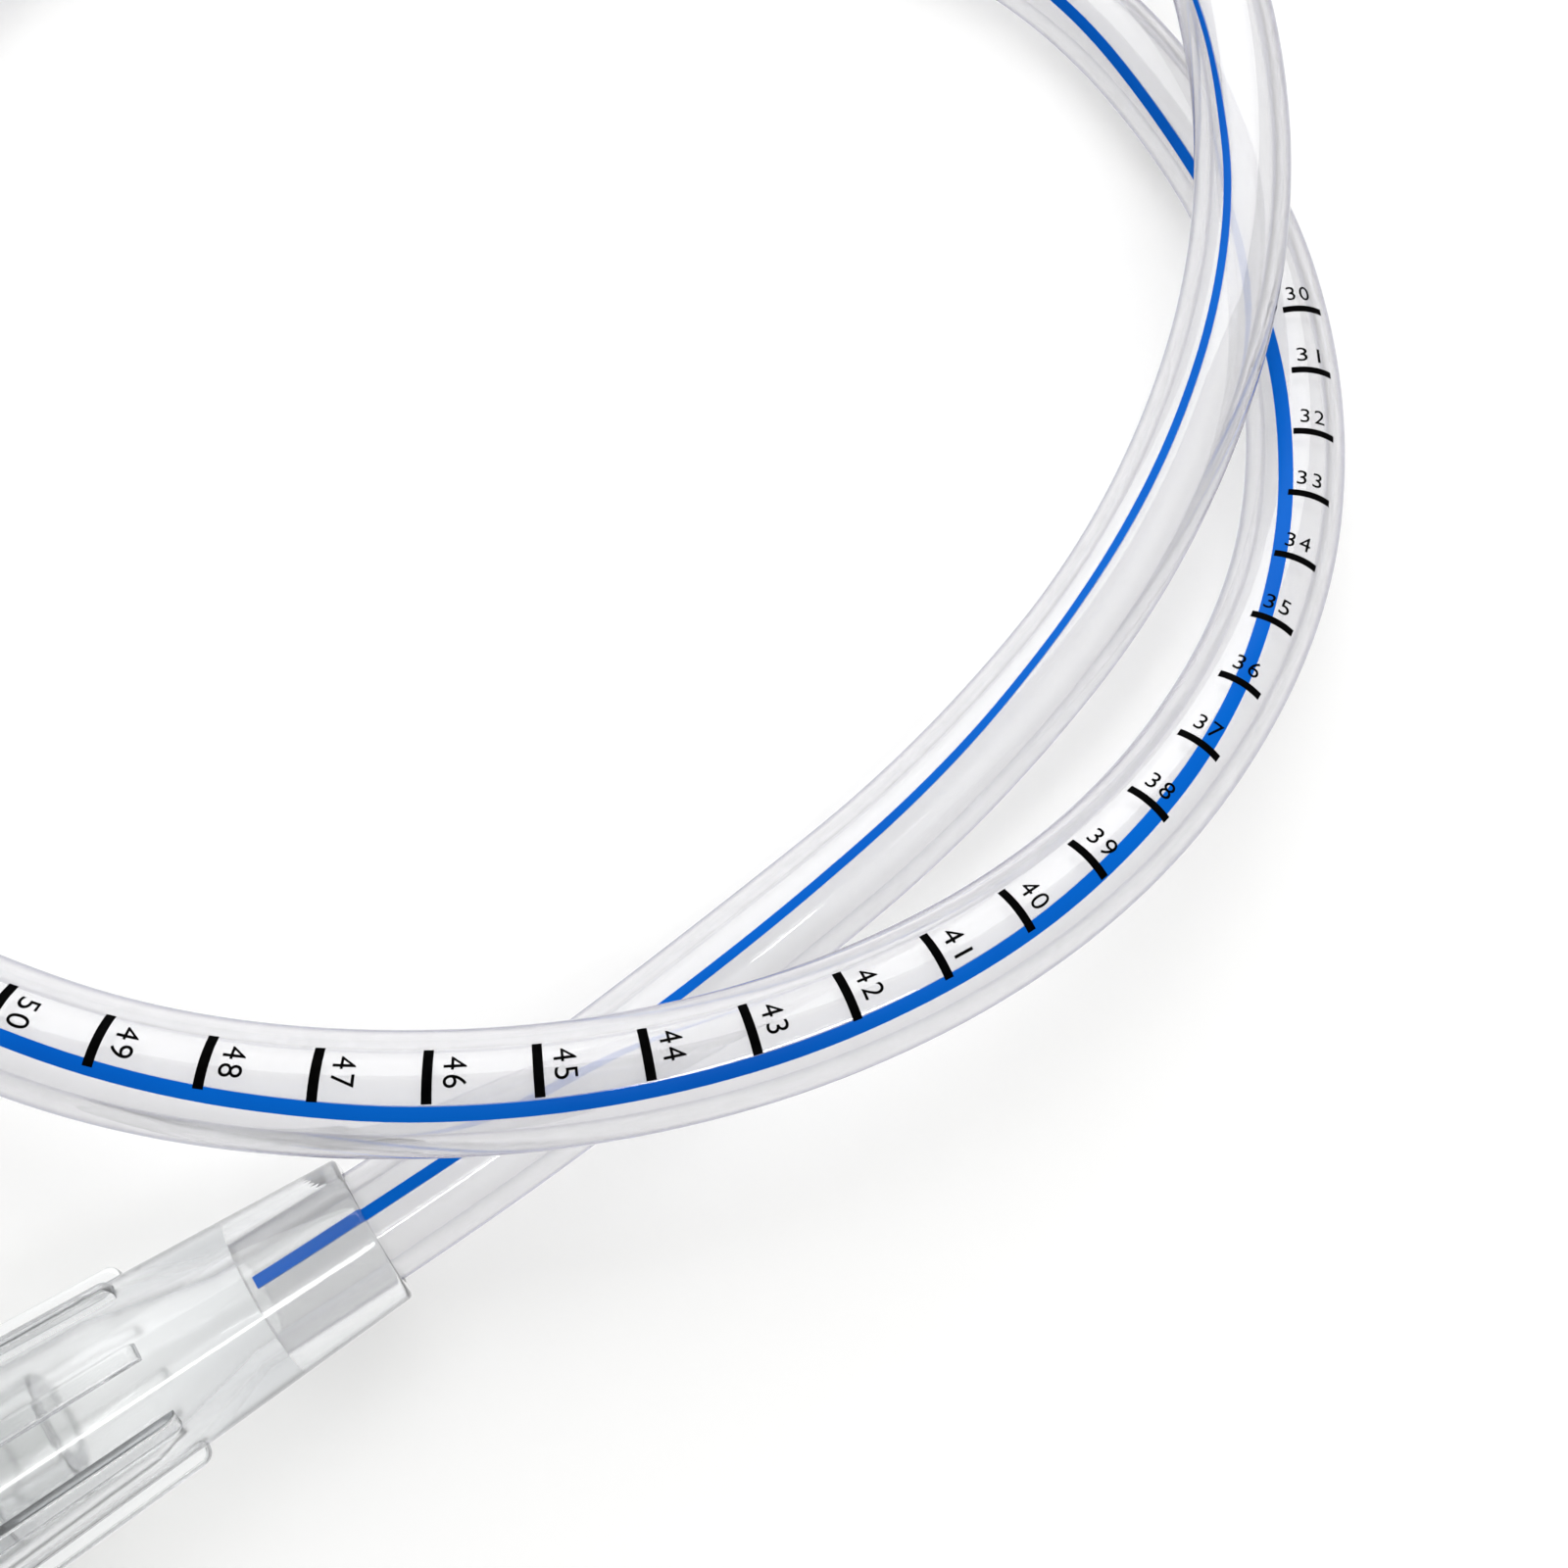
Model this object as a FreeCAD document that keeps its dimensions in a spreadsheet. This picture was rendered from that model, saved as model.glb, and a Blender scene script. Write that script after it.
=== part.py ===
"""Bariatric bougie: a clear 36 Fr calibration tube with a ribbed funnel connector.

The tube lies on a flat surface in one loose loop and crosses over itself twice.
Its proximal end is bonded into the connector, and a suction adapter is plugged
into the connector's mouth. Units are millimetres and degrees. The origin is at
the bottom centre of the whole object, +Z is up.
"""
import FreeCAD
import Part
import Sketcher
import math
import os

# Driving sizes: alias, value, meaning.
DRIVING = [
    ("tube_diameter", "12", "outside of the tube, 36 Fr"),
    ("tube_bore", "8", "lumen of the tube"),
    ("eye_width", "3.6", "side eye across the tube"),
    ("eye_length", "8", "side eye along the tube"),
    ("eye_from_tip", "20", "first side eye's middle from the tip"),
    ("eye_spacing", "16", "from one side eye to the next"),
    ("face_wall", "1.75", "connector's wall at its small end"),
    ("taper_rise", "0.055", "radius gained for each mm along the connector"),
    ("connector_length", "46", "from the small end to the mouth"),
    ("socket_depth", "12", "how far the tube goes in"),
    ("socket_clearance", "0.05", "bond gap round the tube"),
    ("neck_diameter", "8.2", "narrow bore behind the tube's end"),
    ("neck_length", "2.5", "length of that bore"),
    ("neck_flare", "11.5", "cone from the neck out to the cavity"),
    ("cavity_wall", "2.3", "wall of the funnel's wide part"),
    ("rib_count", "8", "grip ribs round the connector"),
    ("rib_from_face", "22", "where the ribs start"),
    ("rib_height", "1.4", "how far a rib stands proud"),
    ("rib_width", "1.8", "rib across"),
    ("rib_round", "1", "rounding of a rib's front end"),
    ("rib_root", "0.8", "how deep a rib is rooted in the wall"),
    ("rim_width", "4", "band at the mouth, flush with the ribs"),
    ("edge_round", "0.5", "rounding of the connector's outer edges"),
    ("stem_diameter", "11", "adapter's nose inside the funnel"),
    ("stem_reach", "14", "nose's end from the mouth"),
    ("plug_length", "8", "tapered seat of the adapter"),
    ("seat_clearance", "0.05", "gap round the tapered seat"),
    ("collar_overlap", "2.6", "stop collar beyond the edge of the mouth"),
    ("collar_thickness", "3", "collar along the axis"),
    ("nipple_diameter", "8.4", "end that takes the suction line"),
    ("nipple_length", "15", "nipple from the collar"),
    ("nipple_chamfer", "0.8", "lead-in at the nipple's end"),
    ("adapter_bore", "6", "bore through the adapter"),
]

# Sizes that follow from the driving ones. "along" is measured from the
# connector's small end, on its axis.
DERIVED = [
    ("socket_radius", "=tube_diameter / 2 + socket_clearance"),
    ("face_radius", "=socket_radius + face_wall"),
    ("neck_radius", "=neck_diameter / 2"),
    ("neck_end_along", "=socket_depth + neck_length"),
    ("cavity_along", "=neck_end_along + neck_flare"),
    ("cavity_radius", "=face_radius + taper_rise * cavity_along - cavity_wall"),
    ("mouth_radius", "=face_radius + taper_rise * connector_length - cavity_wall"),
    ("rim_along", "=connector_length - rim_width"),
    ("shell_at_rim", "=face_radius + taper_rise * rim_along"),
    ("rim_front_radius", "=shell_at_rim + rib_height"),
    ("rim_back_radius", "=face_radius + taper_rise * connector_length + rib_height"),
    ("rib_end_along", "=rim_along + rim_width / 2"),
    ("rib_top_along", "=rib_from_face + rib_round"),
    ("rib_top_front", "=face_radius + taper_rise * rib_top_along + rib_height"),
    ("rib_corner_radius", "=rib_top_front - rib_round"),
    ("rib_root_front", "=rib_top_front - rib_height - rib_root"),
    ("rib_top_back", "=face_radius + taper_rise * rib_end_along + rib_height"),
    ("rib_root_back", "=rib_top_back - rib_height - rib_root"),
    ("stem_radius", "=stem_diameter / 2"),
    ("bore_radius", "=adapter_bore / 2"),
    ("stem_end_along", "=connector_length - stem_reach"),
    ("plug_along", "=connector_length - plug_length"),
    ("plug_front_radius", "=mouth_radius - taper_rise * plug_length - seat_clearance"),
    ("plug_back_radius", "=mouth_radius - seat_clearance"),
    ("collar_radius", "=mouth_radius + collar_overlap"),
    ("collar_end_along", "=connector_length + collar_thickness"),
    ("nipple_radius", "=nipple_diameter / 2"),
    ("nipple_end_along", "=collar_end_along + nipple_length"),
    ("chamfer_along", "=nipple_end_along - nipple_chamfer"),
    ("chamfer_radius", "=nipple_radius - nipple_chamfer"),
    ("ribs_at_socket_floor", "=face_radius + rib_height + taper_rise * socket_depth"),
    ("socket_floor_height", "=ribs_at_socket_floor / sqrt(1 + taper_rise * taper_rise)"),
]

# The tube's route from the connector's socket to the distal tip, chosen by hand:
# x, y and how far the underside is lifted off the surface. It leaves the connector
# along its axis, rises over the distal stretch, makes one loop, rises over its own
# start and ends inside the loop. The connector sets the heights of the first run.
ROUTE = [
    (2.8, -111.6, 4),
    (20.7, -95.7, 2.5),
    (41.9, -72.6, 0.6),
    (65.2, -46.1, 0),
    (85.2, -12.9, 7),
    (94.0, 24.6, 24),
    (90.5, 66.6, 24),
    (76.7, 104.6, 16),
    (48.7, 133.6, 7),
    (8.7, 144.6, 1),
    (-33.3, 137.6, 0),
    (-68.3, 113.6, 0),
    (-92.3, 77.6, 0),
    (-104.3, 36.6, 0),
    (-102.3, -5.4, 2),
    (-88.3, -44.4, 8),
    (-66.3, -74.4, 15),
    (-35.3, -89.9, 21),
    (0.7, -96.4, 25),
    (42.5, -87.8, 25),
    (77.7, -63.3, 17),
    (99.3, -26.1, 8),
    (105.0, 13.1, 1),
    (96.2, 49.1, 0),
    (67.7, 85.6, 0),
    (26.7, 101.6, 0),
    (-14.3, 96.6, 0),
    (-50.3, 75.6, 0),
    (-73.3, 42.6, 0),
    (-78.8, 6.6, 0),
    (-75.6, -15.4, 0),
]
ARC_SHARE = 0.45
EYE_SIDES = (1, -1)
VOLUME_TOLERANCE = 0.01
SAME_EDGE = 0.01

doc = FreeCAD.newDocument("bariatric_bougie")
sheet = doc.addObject("Spreadsheet::Sheet", "sizes")


def fill_sheet():
    """Write the driving sizes and what follows from them, each with its alias."""
    row = 1
    for alias, value, meaning in DRIVING:
        sheet.set(f"A{row}", alias)
        sheet.set(f"B{row}", value)
        sheet.set(f"C{row}", meaning)
        sheet.setAlias(f"B{row}", alias)
        row += 1
    doc.recompute()
    for alias, formula in DERIVED:
        sheet.set(f"A{row}", alias)
        sheet.set(f"B{row}", formula)
        sheet.setAlias(f"B{row}", alias)
        doc.recompute()
        row += 1


def size(alias):
    """A named size as a number."""
    return float(sheet.get(alias))


def origin_feature(body, role):
    """One of a body's own origin planes or axes."""
    for feature in body.Origin.OriginFeatures:
        if feature.Role == role:
            return feature
    raise RuntimeError(f"no {role} in {body.Label}")


def profile_sketch(body, name, plane, corners, arcs):
    """A closed outline whose corners are pairs of named sizes.

    An x of None puts the corner on the vertical axis. arcs maps the index of a
    side to the named radius of the arc that takes its place.
    """
    sketch = body.newObject("Sketcher::SketchObject", name)
    sketch.AttachmentSupport = [(origin_feature(body, plane), "")]
    sketch.MapMode = "FlatFace"
    points = [
        FreeCAD.Vector(0 if x is None else size(x), size(y), 0) for x, y in corners
    ]
    sides = len(points)
    for i, start in enumerate(points):
        end = points[(i + 1) % sides]
        if i in arcs:
            radius = size(arcs[i])
            centre = FreeCAD.Vector(end.x, start.y, 0)
            circle = Part.Circle(centre, FreeCAD.Vector(0, 0, 1), radius)
            sketch.addGeometry(Part.ArcOfCircle(circle, math.pi / 2, math.pi), False)
        else:
            sketch.addGeometry(Part.LineSegment(start, end), False)
    for i in range(sides):
        following = (i + 1) % sides
        last_point = 1 if i in arcs else 2
        first_point = 2 if following in arcs else 1
        sketch.addConstraint(
            Sketcher.Constraint("Coincident", i, last_point, following, first_point)
        )
    for i, (x, y) in enumerate(corners):
        first_point = 2 if i in arcs else 1
        if x is None:
            sketch.addConstraint(Sketcher.Constraint("PointOnObject", i, first_point, -2))
        else:
            place_corner(sketch, "DistanceX", i, first_point, points[i].x, x)
        place_corner(sketch, "DistanceY", i, first_point, points[i].y, y)
    for i, radius in arcs.items():
        index = sketch.addConstraint(Sketcher.Constraint("Radius", i, size(radius)))
        sketch.setExpression(f"Constraints[{index}]", f"sizes.{radius}")
    doc.recompute()
    return sketch


def place_corner(sketch, kind, side, point, value, alias):
    """Tie one coordinate of a corner to a named size."""
    index = sketch.addConstraint(Sketcher.Constraint(kind, -1, 1, side, point, value))
    sketch.setExpression(f"Constraints[{index}]", f"sizes.{alias}")


def turned_body(label, corners):
    """A body turned about its X axis from a closed outline in its XY plane."""
    body = doc.addObject("PartDesign::Body", label)
    body.Label = label
    outline = profile_sketch(body, f"{label}_outline", "XY_Plane", corners, {})
    turned = body.newObject("PartDesign::Revolution", f"{label}_turned")
    turned.Profile = outline
    turned.ReferenceAxis = (outline, ["H_Axis"])
    turned.Angle = 360
    doc.recompute()
    return body


def round_edges(body, name, radius_alias, rings):
    """Round the circular edges that lie at the given places along the axis."""
    base = body.Tip
    names = []
    for i, edge in enumerate(base.Shape.Edges, start=1):
        curve = edge.Curve
        if not isinstance(curve, Part.Circle):
            continue
        for along, radius in rings:
            off_place = abs(curve.Center.x - along)
            off_size = abs(curve.Radius - radius)
            if max(off_place, off_size) < SAME_EDGE:
                names.append(f"Edge{i}")
    fillet = body.newObject("PartDesign::Fillet", name)
    fillet.Base = (base, names)
    fillet.setExpression("Radius", f"sizes.{radius_alias}")
    doc.recompute()


def make_connector():
    """The clear moulding: socket, neck and funnel inside, taper, ribs and rim outside."""
    body = turned_body(
        "funnel_connector",
        [
            (None, "face_radius"),
            ("rim_along", "shell_at_rim"),
            ("rim_along", "rim_front_radius"),
            ("connector_length", "rim_back_radius"),
            ("connector_length", "mouth_radius"),
            ("cavity_along", "cavity_radius"),
            ("neck_end_along", "neck_radius"),
            ("socket_depth", "neck_radius"),
            ("socket_depth", "socket_radius"),
            (None, "socket_radius"),
        ],
    )
    round_edges(
        body,
        "connector_edges",
        "edge_round",
        [(0, size("face_radius")), (size("connector_length"), size("rim_back_radius"))],
    )
    outline = profile_sketch(
        body,
        "rib_outline",
        "XZ_Plane",
        [
            ("rib_from_face", "rib_root_front"),
            ("rib_from_face", "rib_corner_radius"),
            ("rib_top_along", "rib_top_front"),
            ("rib_end_along", "rib_top_back"),
            ("rib_end_along", "rib_root_back"),
        ],
        {1: "rib_round"},
    )
    rib = body.newObject("PartDesign::Pad", "rib")
    rib.Profile = outline
    rib.setExpression("Length", "sizes.rib_width")
    rib.Midplane = True
    doc.recompute()
    ribs = body.newObject("PartDesign::PolarPattern", "ribs")
    ribs.Originals = [rib]
    ribs.Axis = (origin_feature(body, "X_Axis"), [""])
    ribs.Angle = 360
    ribs.setExpression("Occurrences", "sizes.rib_count")
    body.Tip = ribs
    doc.recompute()
    return body


def make_adapter():
    """The suction adapter: nose, tapered seat, stop collar and plain nipple."""
    return turned_body(
        "suction_adapter",
        [
            ("stem_end_along", "bore_radius"),
            ("stem_end_along", "stem_radius"),
            ("plug_along", "stem_radius"),
            ("plug_along", "plug_front_radius"),
            ("connector_length", "plug_back_radius"),
            ("connector_length", "collar_radius"),
            ("collar_end_along", "collar_radius"),
            ("collar_end_along", "nipple_radius"),
            ("chamfer_along", "nipple_radius"),
            ("nipple_end_along", "chamfer_radius"),
            ("nipple_end_along", "bore_radius"),
        ],
    )


def route_points():
    """The tube's centre line, whose first run slopes with the connector's axis.

    The connector rests on its ribs and rim, so its axis rises towards the mouth
    by the funnel's taper.
    """
    radius = size("tube_diameter") / 2
    points = [FreeCAD.Vector(x, y, radius + lift) for x, y, lift in ROUTE]
    run = math.hypot(points[1].x - points[0].x, points[1].y - points[0].y)
    points[0].z = size("socket_floor_height")
    points[1].z = points[0].z - size("taper_rise") * run
    return points


def connector_placement(points):
    """The connector's axis is the tube's first run; its socket's floor is the tube's end.

    Its first rib is underneath, where the connector rests.
    """
    axis = (points[0] - points[1]).normalize()
    side = FreeCAD.Vector(0, 0, 1).cross(axis).normalize()
    down = side.cross(axis)
    turn = FreeCAD.Rotation(axis, side * -1, down, "XZY")
    face = points[0] - axis * size("socket_depth")
    return FreeCAD.Placement(face, turn)


def smooth_path(points):
    """Straight runs joined by tangent arcs, each as large as its two runs allow."""
    edges = []
    last = points[0]
    for i in range(1, len(points) - 1):
        back = points[i - 1] - points[i]
        ahead = points[i + 1] - points[i]
        reach = ARC_SHARE * min(back.Length, ahead.Length)
        half_turn = (math.pi - back.getAngle(ahead)) / 2
        radius = reach / math.tan(half_turn)
        print(f"point {i}: turn {math.degrees(2 * half_turn):.1f}, radius {radius:.0f} mm")
        back.normalize()
        ahead.normalize()
        start = points[i] + back * reach
        end = points[i] + ahead * reach
        inward = (back + ahead).normalize()
        middle = points[i] + inward * (radius / math.cos(half_turn) - radius)
        edges.append(Part.LineSegment(last, start).toShape())
        edges.append(Part.Arc(start, middle, end).toShape())
        last = end
    edges.append(Part.LineSegment(last, points[-1]).toShape())
    return Part.Wire(edges)


def swept_rod(path, radius):
    """A round rod swept along the path."""
    first = path.OrderedEdges[0]
    start = first.valueAt(first.FirstParameter)
    heading = first.tangentAt(first.FirstParameter)
    disc = Part.Face(Part.Wire(Part.Circle(start, heading, radius).toShape()))
    return path.makePipe(disc)


def dome(point, heading, outer_radius, inner_radius):
    """The rounded closed end: half of a hollow ball, facing along heading."""
    ball = Part.makeSphere(outer_radius, point)
    hollow = Part.makeSphere(inner_radius, point)
    behind = Part.makeCylinder(2 * outer_radius, 2 * outer_radius, point, -heading)
    return ball.cut(hollow).cut(behind)


def place_from_end(path, distance):
    """A point on the path and its heading, measured back from the path's end."""
    left = distance
    for edge in reversed(path.OrderedEdges):
        if left <= edge.Length:
            at = edge.getParameterByLength(edge.Length - left)
            return edge.valueAt(at), edge.tangentAt(at)
        left -= edge.Length
    raise RuntimeError("the path is too short for its side eyes")


def eye_cutter(point, heading, side):
    """A slot with round ends that goes through one side wall, level with the floor."""
    half_width = size("eye_width") / 2
    half_straight = size("eye_length") / 2 - half_width
    outward = FreeCAD.Vector(0, 0, 1).cross(heading).normalize() * side
    depth = size("tube_diameter")
    front = point + heading * half_straight
    rear = point - heading * half_straight
    slab = Part.makeBox(2 * half_straight, 2 * half_width, depth)
    across = outward.cross(heading)
    turn = FreeCAD.Rotation(heading, across, outward, "ZXY")
    slab.Placement = FreeCAD.Placement(rear - across * half_width, turn)
    ends = [Part.makeCylinder(half_width, depth, at, outward) for at in (front, rear)]
    return slab.fuse(ends)


def make_tube(points):
    """The tube: one extrusion with a lumen, a rounded closed tip and two side eyes."""
    outer_radius = size("tube_diameter") / 2
    inner_radius = size("tube_bore") / 2
    path = smooth_path(points)
    shape = swept_rod(path, outer_radius).cut(swept_rod(path, inner_radius))
    section = math.pi * (outer_radius**2 - inner_radius**2)
    ratio = shape.Volume / (section * path.Length)
    print(f"path {path.Length:.1f} mm, swept volume over section times length {ratio:.4f}")
    if abs(ratio - 1) > VOLUME_TOLERANCE:
        raise RuntimeError("the swept tube's volume is wrong")
    tip_centre, heading = place_from_end(path, 0)
    shape = shape.fuse(dome(tip_centre, heading, outer_radius, inner_radius))
    for i, side in enumerate(EYE_SIDES):
        along = size("eye_from_tip") + i * size("eye_spacing") - outer_radius
        point, heading = place_from_end(path, along)
        shape = shape.cut(eye_cutter(point, heading, side))
    tube = doc.addObject("Part::Feature", "bougie_tube")
    tube.Label = "bougie_tube"
    tube.Shape = shape.removeSplitter()
    tube.Placement = FreeCAD.Placement()
    return tube


def check_and_export(parts):
    """Stop on any failed object or bad shape, then write one STEP file for each part."""
    for thing in doc.Objects:
        if "Invalid" in thing.State or "Error" in thing.State:
            raise RuntimeError(f"{thing.Label} failed")
    for part in parts:
        if part.Shape.isNull() or not part.Shape.isValid():
            raise RuntimeError(f"{part.Label} has no valid shape")
    os.makedirs("parts", exist_ok=True)
    for part in parts:
        part.Shape.exportStep(f"parts/{part.Label}.step")
        box = part.Shape.optimalBoundingBox(False)
        print(part.Label, len(part.Shape.Solids), "solid,", f"{part.Shape.Volume:.0f} mm3,", box)


fill_sheet()
route = route_points()
placement = connector_placement(route)
connector = make_connector()
adapter = make_adapter()
for piece in (connector, adapter):
    piece.Placement = placement
tube = make_tube(route)
doc.recompute()
check_and_export([connector, adapter, tube])
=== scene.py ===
"""A clear bariatric bougie lying in a loose loop, with its blue stripe, marks and connector.

Everything is in metres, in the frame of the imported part, apart from the tables and the
sizes of the connector and the adapter, which are in millimetres. Angles round the tube
are in degrees from its top, positive to the right for someone going from the connector
to the tip.
"""
import math

import bmesh
import bpy
from mathutils import Matrix, Vector


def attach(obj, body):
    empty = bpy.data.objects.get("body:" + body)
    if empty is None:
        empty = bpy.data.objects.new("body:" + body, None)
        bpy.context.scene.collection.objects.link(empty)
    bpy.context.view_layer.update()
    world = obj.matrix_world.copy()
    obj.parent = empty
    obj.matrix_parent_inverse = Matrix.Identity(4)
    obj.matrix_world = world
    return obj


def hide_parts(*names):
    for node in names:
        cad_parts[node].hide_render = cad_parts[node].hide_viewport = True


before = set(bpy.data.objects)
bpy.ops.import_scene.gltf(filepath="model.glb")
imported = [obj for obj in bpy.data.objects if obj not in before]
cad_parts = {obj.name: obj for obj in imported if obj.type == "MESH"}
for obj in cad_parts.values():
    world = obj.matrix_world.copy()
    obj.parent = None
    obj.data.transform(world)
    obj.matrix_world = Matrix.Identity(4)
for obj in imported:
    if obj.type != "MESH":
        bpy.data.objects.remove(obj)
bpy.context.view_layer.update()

MM = 0.001

# The clear plastics: the face attribute that tells frosted faces from polished ones, the
# slants between which a surface's colour turns to a painted edge shade, a darker colour
# where it is seen edge-on, and the skin's own gloss.
FROST = "frosted"
EDGE_SHADE_SLANT = (0.62, 0.8)
PLASTIC_IOR = 1.5
COAT_ROUGHNESS = 0.03
HAZE_DETAIL = 2.0

# The two opaque colours: where their noise turns from the dark tone to the light one.
TONE_DETAIL = 3.0
DARK_UP_TO = 0.35
LIGHT_FROM = 0.65

# Edges sharper than these angles, in degrees, stay crisp: on the tube and on the mouldings.
TUBE_CRISP = 40
MOULDING_CRISP = 35

# The tube, its rounded tip and its two side eyes.
TUBE_RADIUS = 6.0 * MM
BORE_RADIUS = 4.0 * MM
RING_SIDES = 64
RING_STEP = 2.2 * MM
SPLINE_STEPS = 24
DOME_RINGS = 12
EYE_WIDTH = 3.6 * MM
EYE_LENGTH = 8.0 * MM
EYE_FROM_TIP = 20.0 * MM
EYE_SPACING = 16.0 * MM
EYE_ARC_STEPS = 16
CUTTER_REACH = 1.1 * TUBE_RADIUS
EYE_SIDES = (1, -1)

# The tube's centre line from the connector's socket to the distal tip, in millimetres.
ROUTE = [
    (2.8, -111.6, 9.85),
    (20.7, -95.7, 8.53),
    (41.9, -72.6, 6.6),
    (65.2, -46.1, 6),
    (85.2, -12.9, 9.5),
    (94.0, 24.6, 18),
    (90.5, 66.6, 20),
    (76.7, 104.6, 18),
    (48.7, 133.6, 12),
    (8.7, 144.6, 7),
    (-33.3, 137.6, 6),
    (-68.3, 113.6, 6),
    (-92.3, 77.6, 6),
    (-104.3, 36.6, 6),
    (-102.3, -5.4, 8),
    (-89.6, -43.7, 12.5),
    (-69.3, -73.3, 17),
    (-38.1, -89.0, 21),
    (-0.9, -95.7, 22),
    (42.4, -86.8, 20.3),
    (78.7, -61.5, 15.6),
    (100.7, -23.8, 10),
    (105.3, 13.7, 6.3),
    (96.2, 49.1, 6),
    (67.7, 85.6, 6),
    (26.7, 101.6, 6),
    (-14.3, 99.5, 6),
    (-54.0, 90.0, 6),
    (-84.0, 65.5, 6),
    (-91.0, 26.0, 6),
    (-87.4, 4.8, 6),
]

# The blue stripe in the tube's wall, between two radii. In the socket it stands a little
# prouder. The tables give its angle and its width at distances from the tip.
STRIPE_OUTSIDE = 6.015 * MM
STRIPE_IN_SOCKET = 6.06 * MM
STRIPE_INSIDE = 5.25 * MM
STRIPE_START = 0.8 * MM
STRIPE_STEPS = 6
STRIPE_TWIST = [
    (0, -40),
    (120, -45),
    (236, -55),
    (272, -60),
    (313, -36),
    (330, -25),
    (345, -13.5),
    (360, 0.5),
    (372, 9),
    (384, 14.5),
    (400, 22.5),
    (414, 26.8),
    (429, 29.5),
    (460, 29.5),
    (474, 24),
    (489, 17.5),
    (500, 13.5),
    (560, 0),
    (700, -60),
    (850, -100),
    (950, -68),
    (968, -53),
    (981, -43),
    (992, -33),
    (1009, -24),
    (1027, -18.5),
    (1050, -14),
    (1062, -9.5),
    (1074, -5),
    (1092, -1),
    (1104, 1.8),
    (1116, 2),
    (1150, -2),
    (1165, -1.4),
]
STRIPE_WIDTH = [
    (0, 1.4),
    (272, 1.45),
    (305, 1.75),
    (345, 1.7),
    (390, 1.65),
    (410, 1.5),
    (500, 1.47),
    (700, 1.3),
    (900, 1.0),
    (968, 0.65),
    (984, 0.9),
    (1035, 0.98),
    (1056, 0.85),
    (1092, 1.0),
    (1116, 1.05),
    (1150, 1.2),
    (1165, 1.1),
]

# The printed marks, a centimetre apart and numbered from the tip, and their angles at
# distances from it. The numbers are cut into slices that bend round the tube.
FIRST_MARK = 30
LAST_MARK = 60
MARK_SPACING = 10 * MM
TICK_LENGTH = 5.25 * MM
TICK_WIDTH = 0.95 * MM
TICK_STEPS = 14
PRINT_ANGLE = [
    (300, 5),
    (400, -2),
    (460, -4.6),
    (470, -5.8),
    (483, -8.2),
    (500, -9),
    (600, -9),
]
INK_HEIGHT = 0.03 * MM
NUMBER_FROM_TICK = 2.5 * MM
NUMBER_HEIGHT = 2.15 * MM
NUMBER_WIDTH = 3.0 * MM
NUMBER_OFFSET = -0.3 * MM
DIGIT_SPACING = 1.2
SAME_POINT = 0.0001
SLICE = 0.25 * MM

# The connector, in millimetres, measured along its axis from the small end. A rounding's
# middle ring lies at a share of its size.
SOCKET_DEPTH = 12.0
SOCKET_RADIUS = 6.05
FACE_RADIUS = 7.8
TAPER = 0.055
CONNECTOR_LENGTH = 46.0
NECK_RADIUS = 4.1
NECK_END = 14.5
CAVITY_START = 26.0
CAVITY_WALL = 2.3
RIB_COUNT = 8
RIB_START = 22.0
RIB_HEIGHT = 1.4
RIB_WIDTH = 1.8
RIB_ROUND = 1.0
RIB_SOFT = 0.3
RIB_DRAFT = 0.08
RIM_START = 42.0
RIM_ROW = 2.0
EDGE_ROUND = 0.5
SMALL_ROUND = 0.3
ROUND_SHARE = 0.3

# Where its rings lie: turns of the face's rounded edge in degrees, places before the ribs,
# shares of the ribs' rounded front, places along the ribs, one just before the rim, and
# places in the socket. Then how many lie along the cavity and its flare, how many of the
# last ones are frosted or in the socket, and how many of them are in the socket.
EDGE_TURNS = (0, 15, 30, 45, 60, 75, 90)
TAPER_PLACES = [1.2, 2.5, 4, 6, 8, 10, 12, 14, 16, 18, 20]
FRONT_SHARES = (0.001, 0.02, 0.07, 0.16, 0.3, 0.5, 0.75, 1.0)
RIB_PLACES = [24, 26, 28, 30, 32, 34, 36, 38, 40]
SOCKET_PLACES = [9, 6, 3]
JUST_BEFORE = 0.001
CAVITY_ROWS = 10
FLARE_ROWS = 5
INNER_ROWS = 22
SOCKET_ROWS = 6

# Where its corners lie round the axis: arcs in from a rib's side, and steps between ribs.
RIB_INSETS = (0, 0.08, 0.14, 0.22, 0.38)
RIB_MIDDLE_ARC = 0.25
WALL_STEPS = 9

# The suction adapter, in millimetres from the same end. Its corners are rounded by the
# radii named by their number in the profile.
STEM_RADIUS = 5.5
STEM_END = 32.0
PLUG_START = 38.0
SEAT_GAP = 0.05
COLLAR_RADIUS = 10.63
COLLAR_END = 49.0
NIPPLE_RADIUS = 4.2
NIPPLE_END = 64.0
NIPPLE_CHAMFER = 0.8
ADAPTER_BORE_RADIUS = 3.0
ADAPTER_CORNERS = {1: 0.4, 3: 0.3, 5: 0.3, 6: 0.5, 8: 0.3, 9: 0.15}
ADAPTER_SIDES = 96
LONGEST_ROW = 2.0
ARC_STEPS = 5

# The camera, as the photograph was taken: 53 degrees wide, looking steeply down.
CAMERA_PLACE = (45.7 * MM, -117.4 * MM, 171.3 * MM)
CAMERA_PITCH = math.radians(67.58)
CAMERA_ROLL = math.radians(8.13)
CAMERA_NEAR = 5 * MM
LENS = 36.0
SENSOR = 36.0

# Light Path's names for what the camera sees directly, and in gloss and clear plastic.
CAMERA_RAYS = ("Is Camera Ray",)
THROUGH_RAYS = ("Is Glossy Ray", "Is Transmission Ray")

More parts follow.
